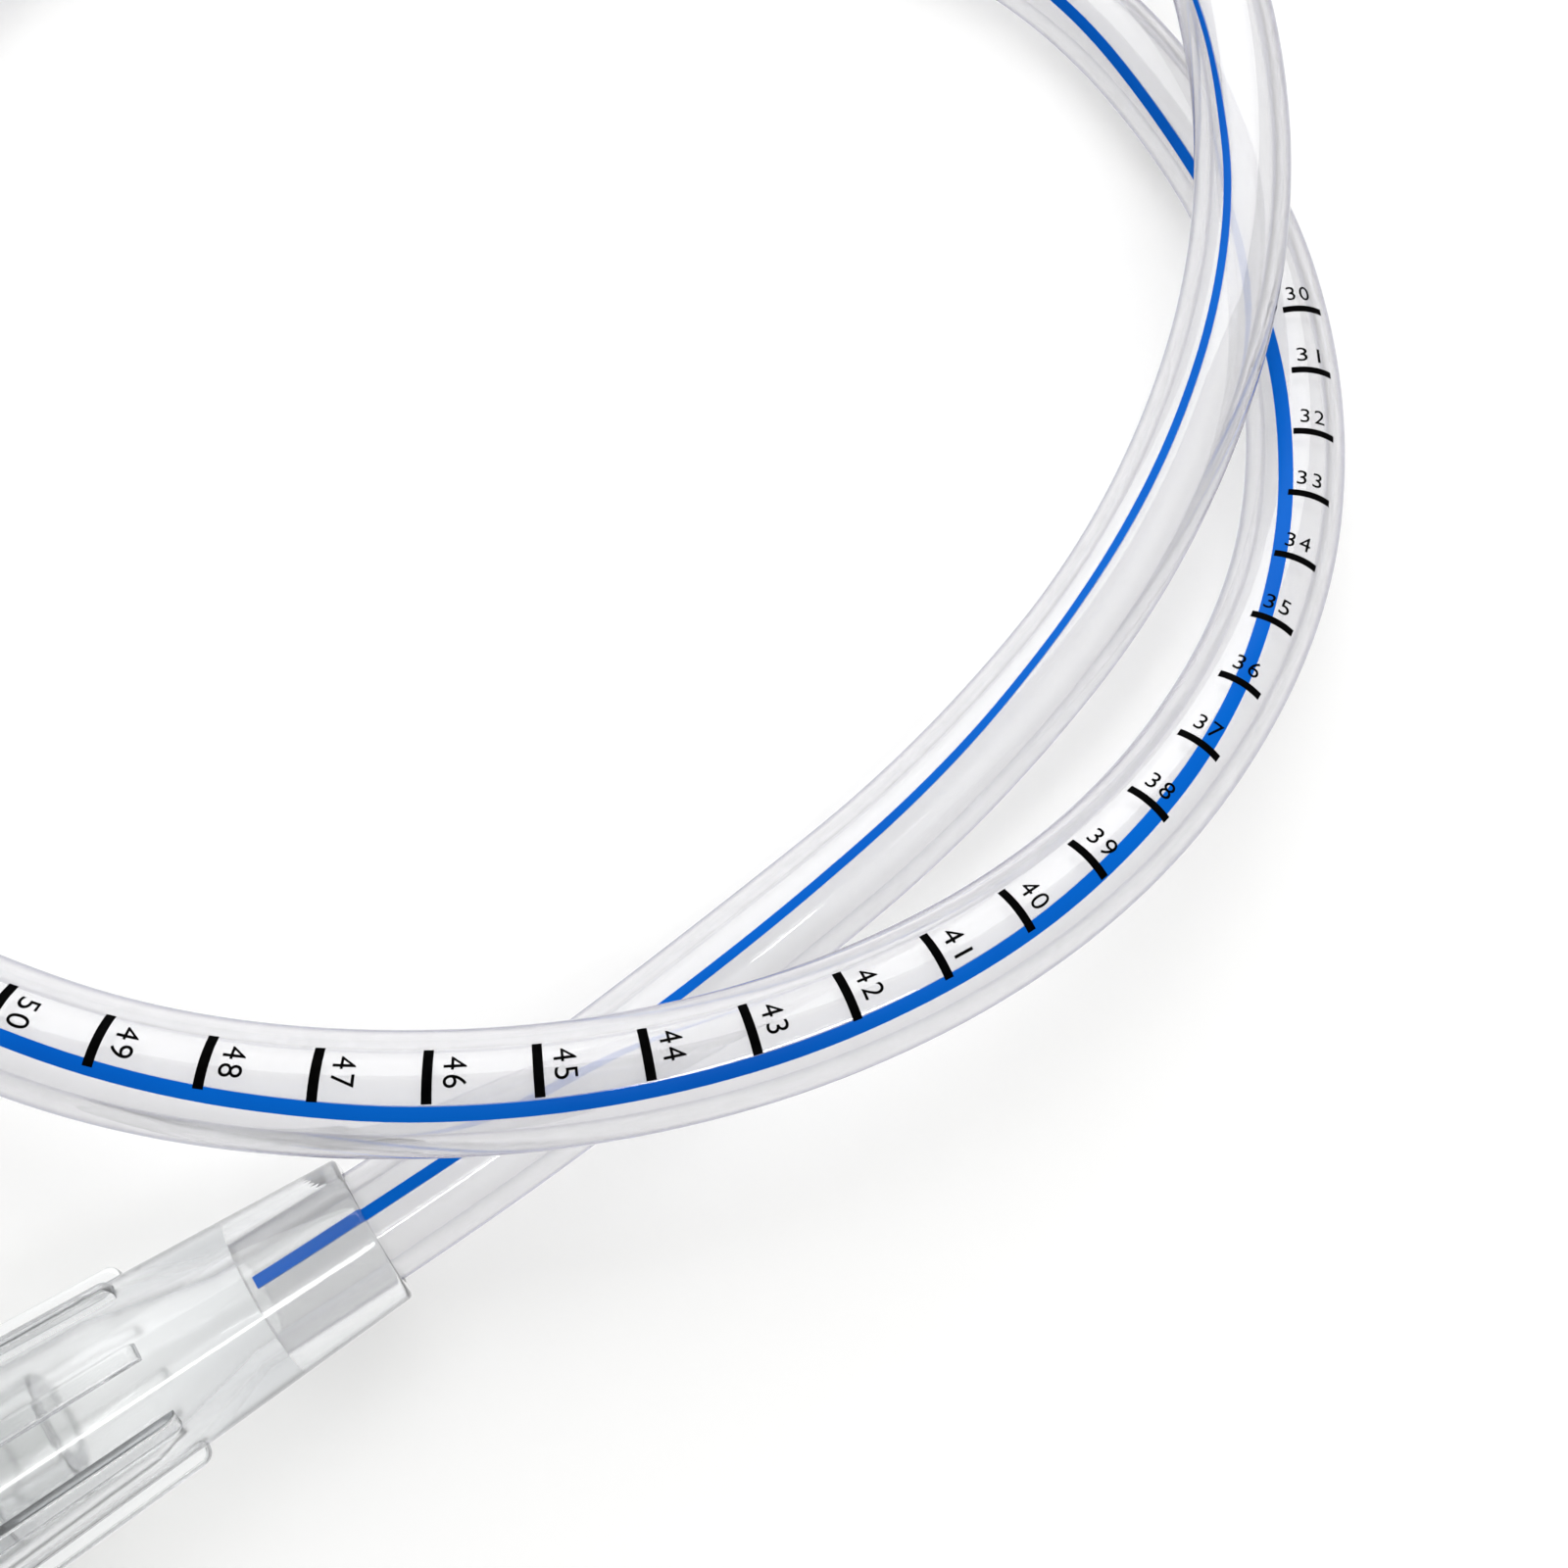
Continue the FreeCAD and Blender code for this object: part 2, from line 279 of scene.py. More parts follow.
# The floor: its reach and colour, how much it glows for the camera alone, the even white that
# gloss and clear plastic see mixed with it and by what share, and the slants between which
# that white fades.
FLOOR_REACH = 1.5
FLOOR_COLOUR = (0.8, 0.8, 0.8, 1)
FLOOR_GLOW = 0.3
FLOOR_THROUGH = 1.4
THROUGH_SHARE = 0.6
GLOW_SLANT = (0.6, 1.0)

# The world's light, and the tones that gloss and clear plastic see in it, by their height.
WORLD_COLOUR = (1.0, 0.995, 0.97, 1)
WORLD_LIGHT = 0.45
BACKDROP_COLOUR = (1, 1, 1, 1)
STUDIO = [
    (0.0, (0.3, 0.3, 0.36)),
    (0.06, (0.5, 0.5, 0.57)),
    (0.2, (0.78, 0.78, 0.82)),
    (0.4, (0.9, 0.9, 0.91)),
    (0.7, (0.6, 0.6, 0.61)),
    (1.0, (0.2, 0.2, 0.205)),
]

# The lamps: name, place, target, width, height and power.
LAMPS = [
    ("key", (-0.15, 0.65, 0.7), (0.03, -0.03, 0), 1.0, 1.0, 6.8),
    ("strip", (0.32, -0.35, 0.6), (0.0, -0.1, 0), 0.5, 0.04, 1.0),
]


def remove(thing):
    """Delete an object and its data."""
    data = thing.data
    bpy.data.objects.remove(thing)
    if isinstance(data, bpy.types.Curve):
        bpy.data.curves.remove(data)
    else:
        bpy.data.meshes.remove(data)


def read_curve(curve):
    """The points of a curve, as a mesh gives them."""
    holder = bpy.data.objects.new("reader", curve)
    mesh = bpy.data.meshes.new_from_object(holder)
    points = [vertex.co.copy() for vertex in mesh.vertices]
    bpy.data.meshes.remove(mesh)
    remove(holder)
    return points


def route_line():
    """The smooth centre line: one open spline with the route's points as its controls."""
    curve = bpy.data.curves.new("route", "CURVE")
    curve.dimensions = "3D"
    curve.resolution_u = SPLINE_STEPS
    spline = curve.splines.new("NURBS")
    spline.points.add(len(ROUTE) - 1)
    for point, (x, y, z) in zip(spline.points, ROUTE):
        point.co = (x * MM, y * MM, z * MM, 1)
    spline.order_u = 3
    spline.use_endpoint_u = True
    return read_curve(curve)


class Line:
    """A line with a length, and a frame at each distance from its start."""

    def __init__(self, points):
        self.points = points
        self.reach = [0.0]
        for a, b in zip(points, points[1:]):
            self.reach.append(self.reach[-1] + (b - a).length)
        self.length = self.reach[-1]

    def at(self, distance):
        """The point at a distance from the start."""
        distance = min(max(distance, 0.0), self.length)
        low, high = 0, len(self.reach) - 1
        while high - low > 1:
            middle = (low + high) // 2
            if self.reach[middle] <= distance:
                low = middle
            else:
                high = middle
        share = (distance - self.reach[low]) / (self.reach[high] - self.reach[low])
        return self.points[low].lerp(self.points[high], share)

    def frame_at(self, distance):
        """The point there, the way along the line, the side and the upward direction."""
        near = 0.5 * RING_STEP
        ahead = self.at(distance + near) - self.at(distance - near)
        along = ahead.normalized()
        up = (Vector((0, 0, 1)) - along * along.z).normalized()
        return self.at(distance), along, along.cross(up), up

    def on_tube(self, distance, angle, radius):
        """A point round the tube at a distance from the start and an angle from the top."""
        point, along, side, up = self.frame_at(distance)
        return point + radius * (math.cos(angle) * up + math.sin(angle) * side)


def smooth_between(table, value):
    """The table's second column at a value of its first, with an even slope at each entry."""
    if value <= table[0][0]:
        return table[0][1]
    slopes = []
    for i in range(len(table)):
        before = table[max(i - 1, 0)]
        after = table[min(i + 1, len(table) - 1)]
        slopes.append((after[1] - before[1]) / (after[0] - before[0]))
    for i in range(len(table) - 1):
        x0, y0 = table[i]
        x1, y1 = table[i + 1]
        if value <= x1:
            step = x1 - x0
            t = (value - x0) / step
            rise = (y1 - y0) * t * t * (3 - 2 * t)
            lean = step * t * (1 - t) * ((1 - t) * slopes[i] - t * slopes[i + 1])
            return y0 + rise + lean
    return table[-1][1]


def new_piece(name, vertices, faces, material):
    """A mesh object on the part's one body, with its material."""
    mesh = bpy.data.meshes.new(name)
    mesh.from_pydata(vertices, [], faces)
    mesh.validate()
    piece = bpy.data.objects.new(name, mesh)
    bpy.context.scene.collection.objects.link(piece)
    mesh.materials.append(material)
    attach(piece, "root")
    return piece


def shade(piece, degrees):
    """Smooth shading, with edges sharper than the angle left crisp."""
    for face in piece.data.polygons:
        face.use_smooth = True
    piece.data.set_sharp_from_angle(angle=math.radians(degrees))


def ring_faces(rows, count):
    """Quads between each ring of a stack of rings and the next."""
    faces = []
    for row, following in zip(rows, rows[1:]):
        for i in range(count):
            j = (i + 1) % count
            faces.append((row + i, row + j, following + j, following + i))
    return faces


def mark_frosted(piece, is_frosted):
    """Give each face a number that its material reads: 1 where it is frosted, 0 elsewhere."""
    marks = piece.data.attributes.new(FROST, "FLOAT", "FACE")
    for face, mark in zip(piece.data.polygons, marks.data):
        mark.value = 1.0 if is_frosted(face) else 0.0


def set_input(node, name, value):
    """Set one of a shader node's sockets by its name."""
    node.inputs[name].default_value = value


def clear_material(name, tint, rim, clarity, gloss, coat, absorb, density, shadow, haze):
    """A clear plastic: refracting, a little milky, tinted in its depth, and letting lamps through.

    rim is a painted edge shade, a darker colour painted where the plastic is seen edge-on,
    gloss is the roughness of its polished faces and of its frosted ones, and coat is how
    much of a smooth skin lies over them.
    absorb and density are the tint in its depth, shadow is what each surface lets through
    of a lamp, and haze is the scale, strength and height of its faint unevenness.
    """
    material = bpy.data.materials.new(name)
    material.use_nodes = True
    nodes = material.node_tree.nodes
    links = material.node_tree.links
    surface = nodes["Principled BSDF"]
    output = nodes["Material Output"]
    set_input(surface, "IOR", PLASTIC_IOR)
    # Painted shade: the base colour turns from the tint to the darker rim colour where the surface
    # is seen edge-on.
    slant = nodes.new("ShaderNodeLayerWeight")
    edge = nodes.new("ShaderNodeValToRGB")
    edge.color_ramp.elements[0].position = EDGE_SHADE_SLANT[0]
    edge.color_ramp.elements[0].color = (*tint, 1)
    edge.color_ramp.elements[1].position = EDGE_SHADE_SLANT[1]
    edge.color_ramp.elements[1].color = (*rim, 1)
    links.new(slant.outputs["Facing"], edge.inputs["Fac"])
    links.new(edge.outputs["Color"], surface.inputs["Base Color"])
    set_input(surface, "Transmission Weight", clarity)
    set_input(surface, "Coat Weight", coat)
    set_input(surface, "Coat Roughness", COAT_ROUGHNESS)
    frosted = nodes.new("ShaderNodeAttribute")
    frosted.attribute_name = FROST
    rough = nodes.new("ShaderNodeMapRange")
    set_input(rough, "To Min", gloss[0])
    set_input(rough, "To Max", gloss[1])
    links.new(frosted.outputs["Fac"], rough.inputs["Value"])
    links.new(rough.outputs["Result"], surface.inputs["Roughness"])
    grain = nodes.new("ShaderNodeTexNoise")
    set_input(grain, "Scale", haze[0])
    set_input(grain, "Detail", HAZE_DETAIL)
    place = nodes.new("ShaderNodeTexCoord")
    links.new(place.outputs["Object"], grain.inputs["Vector"])
    bump = nodes.new("ShaderNodeBump")
    set_input(bump, "Strength", haze[1])
    set_input(bump, "Distance", haze[2])
    links.new(grain.outputs["Fac"], bump.inputs["Height"])
    links.new(bump.outputs["Normal"], surface.inputs["Normal"])
    path = nodes.new("ShaderNodeLightPath")
    through = nodes.new("ShaderNodeBsdfTransparent")
    set_input(through, "Color", (*shadow, 1))
    mix = nodes.new("ShaderNodeMixShader")
    links.new(path.outputs["Is Shadow Ray"], mix.inputs[0])
    links.new(surface.outputs[0], mix.inputs[1])
    links.new(through.outputs[0], mix.inputs[2])
    links.new(mix.outputs[0], output.inputs["Surface"])
    volume = nodes.new("ShaderNodeVolumeAbsorption")
    set_input(volume, "Color", (*absorb, 1))
    set_input(volume, "Density", density)
    links.new(volume.outputs[0], output.inputs["Volume"])
    return material


def solid_material(name, dark, light, scale, roughness, gloss):
    """An opaque colour that varies a little from place to place."""
    material = bpy.data.materials.new(name)
    material.use_nodes = True
    nodes = material.node_tree.nodes
    links = material.node_tree.links
    surface = nodes["Principled BSDF"]
    set_input(surface, "Roughness", roughness)
    set_input(surface, "Specular IOR Level", gloss)
    place = nodes.new("ShaderNodeTexCoord")
    noise = nodes.new("ShaderNodeTexNoise")
    set_input(noise, "Scale", scale)
    set_input(noise, "Detail", TONE_DETAIL)
    ramp = nodes.new("ShaderNodeValToRGB")
    ramp.color_ramp.elements[0].position = DARK_UP_TO
    ramp.color_ramp.elements[0].color = (*dark, 1)
    ramp.color_ramp.elements[1].position = LIGHT_FROM
    ramp.color_ramp.elements[1].color = (*light, 1)
    links.new(place.outputs["Object"], noise.inputs["Vector"])
    links.new(noise.outputs["Fac"], ramp.inputs["Fac"])
    links.new(ramp.outputs["Color"], surface.inputs["Base Color"])
    return material


# Each plastic's rim colour is a painted shade along its edges, not a colour of the plastic.
pvc = clear_material(
    "clear_pvc",
    tint=(0.96, 0.96, 0.96),
    rim=(0.2, 0.2, 0.33),
    clarity=0.76,
    gloss=(0.05, 0.08),
    coat=0.0,
    absorb=(0.79, 0.775, 0.85),
    density=50,
    shadow=(0.77, 0.77, 0.755),
    haze=(60, 0.04, 0.0002),
)
moulding = clear_material(
    "clear_moulding",
    tint=(0.96, 0.965, 0.965),
    rim=(0.4, 0.4, 0.44),
    clarity=0.96,
    gloss=(0.1, 0.2),
    coat=0.15,
    absorb=(0.8, 0.81, 0.82),
    density=120,
    shadow=(0.8, 0.8, 0.785),
    haze=(90, 0.05, 0.0002),
)
rigid = clear_material(
    "clear_adapter",
    tint=(0.96, 0.965, 0.965),
    rim=(0.6, 0.6, 0.62),
    clarity=0.93,
    gloss=(0.08, 0.1),
    coat=0.15,
    absorb=(0.8, 0.81, 0.82),
    density=90,
    shadow=(0.84, 0.84, 0.83),
    haze=(90, 0.05, 0.0002),
)
blue = solid_material(
    "blue_stripe",
    dark=(0.0, 0.115, 0.6),
    light=(0.0, 0.15, 0.7),
    scale=35,
    roughness=0.35,
    gloss=0.05,
)
ink = solid_material(
    "black_ink",
    dark=(0.0005, 0.0005, 0.0005),
    light=(0.002, 0.002, 0.002),
    scale=900,
    roughness=0.5,
    gloss=0.01,
)

line = Line(route_line())
tip_distance = line.length + TUBE_RADIUS


def make_tube():
    """The hollow tube with its rounded closed tip and its side eyes."""
    steps = round(line.length / RING_STEP)
    stations = [line.length * i / steps for i in range(steps + 1)]
    turns = [2 * math.pi * i / RING_SIDES for i in range(RING_SIDES)]
    vertices = []
    faces = []
    ends = []
    for radius in (TUBE_RADIUS, BORE_RADIUS):
        rows = []
        for distance in stations:
            point, along, side, up = line.frame_at(distance)
            rows.append(len(vertices))
            for turn in turns:
                outward = math.cos(turn) * up + math.sin(turn) * side
                vertices.append(point + radius * outward)
        for i in range(1, DOME_RINGS):
            polar = 0.5 * math.pi * i / DOME_RINGS
            rows.append(len(vertices))
            for turn in turns:
                outward = math.cos(turn) * up + math.sin(turn) * side
                reach = math.cos(polar) * outward + math.sin(polar) * along
                vertices.append(point + radius * reach)
        pole = len(vertices)
        vertices.append(point + radius * along)
        outside = radius == TUBE_RADIUS
        wall = ring_faces(rows, RING_SIDES)
        last = rows[-1]
        wall += [(last + i, last + (i + 1) % RING_SIDES, pole) for i in range(RING_SIDES)]
        faces += wall if outside else [tuple(reversed(face)) for face in wall]
        ends.append(rows[0])
    outer, inner = ends
    for i in range(RING_SIDES):
        j = (i + 1) % RING_SIDES
        faces.append((outer + j, outer + i, inner + i, inner + j))
    piece = new_piece("clear_tube", vertices, faces, pvc)
    mark_frosted(piece, lambda face: min(face.vertices) >= inner)
    for i, side in enumerate(EYE_SIDES):
        cut_eye(piece, tip_distance - EYE_FROM_TIP - i * EYE_SPACING, side)
    shade(piece, TUBE_CRISP)
    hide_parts("bougie_tube")
    return piece


def cut_eye(piece, distance, hand):
    """Cut one side eye, a slot with round ends, through one wall."""
    point, along, side, up = line.frame_at(distance)
    outward = side * hand
    half_width = EYE_WIDTH / 2
    half_straight = EYE_LENGTH / 2 - half_width
    outline = []
    for end in (1, -1):
        for i in range(EYE_ARC_STEPS + 1):
            turn = math.pi * i / EYE_ARC_STEPS - math.pi / 2
            reach = half_straight + half_width * math.cos(turn)
            outline.append(end * (along * reach + up * half_width * math.sin(turn)))
    count = len(outline)
    vertices = [point + offset for offset in outline]
    vertices += [point + offset + outward * CUTTER_REACH for offset in outline]
    faces = [tuple(range(count)), tuple(reversed(range(count, 2 * count)))]
    for i in range(count):
        j = (i + 1) % count
        faces.append((j, i, count + i, count + j))
    mesh = bpy.data.meshes.new("eye_cutter")
    mesh.from_pydata(vertices, [], faces)
    shell = bmesh.new()
    shell.from_mesh(mesh)
    bmesh.ops.recalc_face_normals(shell, faces=shell.faces)
    shell.to_mesh(mesh)
    shell.free()
    cutter = bpy.data.objects.new("eye_cutter", mesh)
    bpy.context.scene.collection.objects.link(cutter)
    cut = piece.modifiers.new("eye", "BOOLEAN")
    cut.operation = "DIFFERENCE"
    cut.solver = "EXACT"
    cut.object = cutter
    evaluated = piece.evaluated_get(bpy.context.evaluated_depsgraph_get())
    result = bpy.data.meshes.new_from_object(evaluated)
    piece.modifiers.clear()
    old = piece.data
    piece.data = result
    bpy.data.meshes.remove(old)
    result.name = piece.name
    remove(cutter)


def make_stripe():
    """The blue stripe, a thin ribbon in the outer part of the tube's wall."""
    reach = line.length - STRIPE_START - RING_STEP
    steps = round(reach / RING_STEP)
    vertices = []
    rows = []
    for i in range(steps + 1):
        distance = STRIPE_START + reach * i / steps
        from_tip = (tip_distance - distance) / MM
        middle = math.radians(smooth_between(STRIPE_TWIST, from_tip))
        half = 0.5 * smooth_between(STRIPE_WIDTH, from_tip) * MM / STRIPE_OUTSIDE
        outside = STRIPE_IN_SOCKET if distance < SOCKET_DEPTH * MM else STRIPE_OUTSIDE
        rows.append(len(vertices))
        for k in range(STRIPE_STEPS + 1):
            angle = middle - half + 2 * half * k / STRIPE_STEPS
            vertices.append(line.on_tube(distance, angle, outside))
        for k in range(STRIPE_STEPS + 1):
            angle = middle + half - 2 * half * k / STRIPE_STEPS
            vertices.append(line.on_tube(distance, angle, STRIPE_INSIDE))
    count = 2 * (STRIPE_STEPS + 1)
    faces = ring_faces(rows, count)
    faces.append(tuple(reversed(range(count))))
    faces.append(tuple(rows[-1] + i for i in range(count)))
    piece = new_piece("blue_stripe", vertices, faces, blue)
    shade(piece, TUBE_CRISP)
    return piece


def print_angle(distance):
    """The angle of the middle of the printed ticks at a distance from the start."""
    return math.radians(smooth_between(PRINT_ANGLE, (tip_distance - distance) / MM))


def make_ticks():
    """One short line of ink round part of the tube for each centimetre."""
    vertices = []
    faces = []
    for mark in range(FIRST_MARK, LAST_MARK + 1):
        distance = tip_distance - mark * MARK_SPACING
        middle = print_angle(distance)
        half = 0.5 * TICK_LENGTH / TUBE_RADIUS
        rows = []
        for i in range(TICK_STEPS + 1):
            angle = middle - half + 2 * half * i / TICK_STEPS
            rows.append(len(vertices))
            for offset, radius in (
                (-0.5 * TICK_WIDTH, TUBE_RADIUS),
                (-0.5 * TICK_WIDTH, TUBE_RADIUS + INK_HEIGHT),
                (0.5 * TICK_WIDTH, TUBE_RADIUS + INK_HEIGHT),
                (0.5 * TICK_WIDTH, TUBE_RADIUS),
            ):
                vertices.append(line.on_tube(distance + offset, angle, radius))
        faces += ring_faces(rows, 4)
        faces.append((rows[0] + 3, rows[0] + 2, rows[0] + 1, rows[0]))
        faces.append((rows[-1], rows[-1] + 1, rows[-1] + 2, rows[-1] + 3))
    piece = new_piece("centimetre_ticks", vertices, faces, ink)
    face_outwards(piece)
    return piece


def flat_number(text):
    """A number as a flat mesh, cut into narrow strips and scaled to its printed size."""
    words = bpy.data.curves.new("number", "FONT")
    words.body = text
    words.align_x = "CENTER"
    words.space_character = DIGIT_SPACING
    holder = bpy.data.objects.new("number", words)
    bpy.context.scene.collection.objects.link(holder)
    bpy.context.view_layer.update()
    evaluated = holder.evaluated_get(bpy.context.evaluated_depsgraph_get())
    mesh = bpy.data.meshes.new_from_object(evaluated)
    bpy.data.objects.remove(holder)
    bpy.data.curves.remove(words)
    shape = bmesh.new()
    shape.from_mesh(mesh)
    bpy.data.meshes.remove(mesh)
    bmesh.ops.remove_doubles(shape, verts=shape.verts, dist=SAME_POINT)
    xs = [vertex.co.x for vertex in shape.verts]
    ys = [vertex.co.y for vertex in shape.verts]
    middle_x = 0.5 * (min(xs) + max(xs))
    middle_y = 0.5 * (min(ys) + max(ys))
    wide = NUMBER_WIDTH / (max(xs) - min(xs))
    tall = NUMBER_HEIGHT / (max(ys) - min(ys))
    for vertex in shape.verts:
        vertex.co = ((vertex.co.x - middle_x) * wide, (vertex.co.y - middle_y) * tall, 0)
    place = -0.5 * NUMBER_WIDTH + SLICE
    while place < 0.5 * NUMBER_WIDTH:
        bmesh.ops.bisect_plane(
            shape,
            geom=shape.verts[:] + shape.edges[:] + shape.faces[:],
            plane_co=(place, 0, 0),
            plane_no=(1, 0, 0),
        )
        place += SLICE
    return shape


def make_numbers():
    """The marks' numbers, read from beside the tube with their tops towards the tip."""
    vertices = []
    faces = []
    for mark in range(FIRST_MARK, LAST_MARK + 1):
        shape = flat_number(str(mark))
        distance = tip_distance - mark * MARK_SPACING + NUMBER_FROM_TICK
        middle = print_angle(distance)
        first = len(vertices)
        shape.verts.index_update()
        for radius in (TUBE_RADIUS + INK_HEIGHT, TUBE_RADIUS):
            for vertex in shape.verts:
                angle = middle + (vertex.co.x + NUMBER_OFFSET) / TUBE_RADIUS
                vertices.append(line.on_tube(distance + vertex.co.y, angle, radius))
        count = len(shape.verts)
        for face in shape.faces:
            corners = [first + vertex.index for vertex in face.verts]
            if face.normal.z < 0:
                corners.reverse()
            faces.append(tuple(corners))
            faces.append(tuple(corner + count for corner in reversed(corners)))
        for edge in shape.edges:
            if edge.is_boundary:
                a, b = (first + vertex.index for vertex in edge.verts)
                faces.append((a, b, b + count, a + count))
        shape.free()
    piece = new_piece("centimetre_numbers", vertices, faces, ink)
    face_outwards(piece)
    return piece


def connector_matrix():
    """From the connector's own frame, in millimetres along its axis, to the part's."""
    socket = Vector(ROUTE[0]) * MM
    second = Vector(ROUTE[1]) * MM
    axis = (socket - second).normalized()
    side = Vector((0, 0, 1)).cross(axis).normalized()
    up = axis.cross(side)
    face = socket - axis * SOCKET_DEPTH * MM
    turn = Matrix((axis, side, up)).transposed().to_4x4()
    return Matrix.Translation(face) @ turn @ Matrix.Scale(MM, 4)


def rounded(profile, corners):
    """A profile of (along, radius) points with the named corners rounded by small arcs."""
    result = []
    for i, point in enumerate(profile):
        radius = corners.get(i)
        if radius is None:
            result.append(point)
            continue
        here = Vector(point)
        before = (Vector(profile[i - 1]) - here).normalized()
        after = (Vector(profile[(i + 1) % len(profile)]) - here).normalized()
        half = 0.5 * before.angle(after)
        reach = radius / math.tan(half)
        centre = here + (before + after).normalized() * (radius / math.sin(half))
        start = here + before * reach - centre
        end = here + after * reach - centre
        for k in range(ARC_STEPS + 1):
            spoke = start.lerp(end, k / ARC_STEPS).normalized() * radius
            result.append(tuple(centre + spoke))
    return result


def along_profile(profile, longest):
    """The profile with extra points, so that no side of it is longer than a limit."""
    result = []
    for i, start in enumerate(profile):
        end = profile[(i + 1) % len(profile)]
        pieces = max(1, math.ceil(math.dist(start, end) / longest))
        for k in range(pieces):
            share = k / pieces
            result.append(tuple(a + (b - a) * share for a, b in zip(start, end)))
    return result


def rib_stand(along, arc):
    """How far the surface stands proud at a place along a rib and across it."""
    half = RIB_WIDTH / 2
    across = abs(arc)
    if across >= half or along <= RIB_START:
        return 0.0
    top = RIB_HEIGHT
    if along < RIB_START + RIB_ROUND:
        back = RIB_START + RIB_ROUND - along
        top = RIB_HEIGHT - RIB_ROUND + math.sqrt(RIB_ROUND * RIB_ROUND - back * back)
    edge = half - RIB_DRAFT - RIB_SOFT
    if across <= edge:
        return top
    if across <= edge + RIB_SOFT:
        drop = across - edge
        return top - RIB_SOFT + math.sqrt(max(0.0, RIB_SOFT * RIB_SOFT - drop * drop))
    return (top - RIB_SOFT) * (half - across) / RIB_DRAFT


def connector_angles():
    """Angles round the connector, closer together at the sides of the ribs."""
    radius = FACE_RADIUS + TAPER * 0.5 * (RIB_START + RIM_START)
    half = RIB_WIDTH / 2
    near = [half - inset for inset in RIB_INSETS] + [RIB_MIDDLE_ARC]
    arcs = [-a for a in near] + [0.0] + [a for a in reversed(near)]
    angles = []
    pitch = 2 * math.pi / RIB_COUNT
    for rib in range(RIB_COUNT):
        middle = rib * pitch
        angles += [middle + arc / radius for arc in arcs]
        start = half / radius
        for i in range(1, WALL_STEPS):
            angles.append(middle + start + (pitch - 2 * start) * i / WALL_STEPS)
    return angles


def make_connector():
    """The clear moulding: socket, neck and funnel inside, taper, ribs and rim outside."""
    mouth = FACE_RADIUS + TAPER * CONNECTOR_LENGTH
    alongs = [EDGE_ROUND * (1 - math.cos(math.radians(turn))) for turn in EDGE_TURNS]
    alongs += TAPER_PLACES + [RIB_START]
    alongs += [RIB_START + RIB_ROUND * share for share in FRONT_SHARES]
    alongs += RIB_PLACES + [RIM_START - JUST_BEFORE]
    angles = connector_angles()
    count = len(angles)
    mean = FACE_RADIUS + TAPER * 0.5 * (RIB_START + RIM_START)
    pitch = 2 * math.pi / RIB_COUNT
    vertices = []
    rows = []
    for along in alongs:
        base = FACE_RADIUS + TAPER * along
        if along < EDGE_ROUND:
            back = EDGE_ROUND - along
            base += math.sqrt(EDGE_ROUND * EDGE_ROUND - back * back) - EDGE_ROUND
        rows.append(len(vertices))
        for angle in angles:
            arc = (angle - pitch * round(angle / pitch)) * mean
            radius = base + rib_stand(along, arc)
            vertices.append((along, radius * math.sin(angle), radius * math.cos(angle)))
    rim_front = FACE_RADIUS + TAPER * RIM_START + RIB_HEIGHT
    rim_back = mouth + RIB_HEIGHT
    cavity = FACE_RADIUS + TAPER * CAVITY_START - CAVITY_WALL
    rest = [
        (RIM_START, rim_front - SMALL_ROUND),
        (RIM_START + ROUND_SHARE * SMALL_ROUND, rim_front - ROUND_SHARE * SMALL_ROUND),
        (RIM_START + SMALL_ROUND, rim_front + TAPER * SMALL_ROUND),
        (RIM_START + RIM_ROW, rim_front + TAPER * RIM_ROW),
        (CONNECTOR_LENGTH - EDGE_ROUND, rim_back - TAPER * EDGE_ROUND),
        (CONNECTOR_LENGTH - ROUND_SHARE * EDGE_ROUND, rim_back - ROUND_SHARE * EDGE_ROUND),
        (CONNECTOR_LENGTH, rim_back - EDGE_ROUND),
        (CONNECTOR_LENGTH, mouth - CAVITY_WALL + SMALL_ROUND),
        (CONNECTOR_LENGTH - SMALL_ROUND, mouth - CAVITY_WALL),
    ]
    for i in range(1, CAVITY_ROWS + 1):
        along = CONNECTOR_LENGTH - (CONNECTOR_LENGTH - CAVITY_START) * i / CAVITY_ROWS
        rest.append((along, FACE_RADIUS + TAPER * along - CAVITY_WALL))
    for i in range(1, FLARE_ROWS):
        share = i / FLARE_ROWS
        along = CAVITY_START + (NECK_END - CAVITY_START) * share
        rest.append((along, cavity + (NECK_RADIUS - cavity) * share))
    rest += [
        (NECK_END, NECK_RADIUS),
        (SOCKET_DEPTH, NECK_RADIUS),
        (SOCKET_DEPTH, SOCKET_RADIUS),
    ]
    rest += [(along, SOCKET_RADIUS) for along in SOCKET_PLACES]
    rest += [
        (SMALL_ROUND, SOCKET_RADIUS),
        (0, SOCKET_RADIUS + SMALL_ROUND),
    ]
    for along, radius in rest:
        rows.append(len(vertices))
        for angle in angles:
            vertices.append((along, radius * math.sin(angle), radius * math.cos(angle)))
    faces = ring_faces(rows + [rows[0]], count)
    place = connector_matrix()
    vertices = [place @ Vector(vertex) for vertex in vertices]
    piece = new_piece("ribbed_connector", vertices, faces, moulding)
    first_inner = (len(rows) - INNER_ROWS) * count
    last_inner = len(vertices) - SOCKET_ROWS * count
    mark_frosted(piece, lambda face: first_inner <= min(face.vertices) < last_inner)
    face_outwards(piece)
    shade(piece, MOULDING_CRISP)
    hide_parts("funnel_connector")


def face_outwards(piece):
    """Turn all faces of a closed mesh outwards."""
    shell = bmesh.new()
    shell.from_mesh(piece.data)
    bmesh.ops.recalc_face_normals(shell, faces=shell.faces)
    shell.to_mesh(piece.data)
    shell.free()


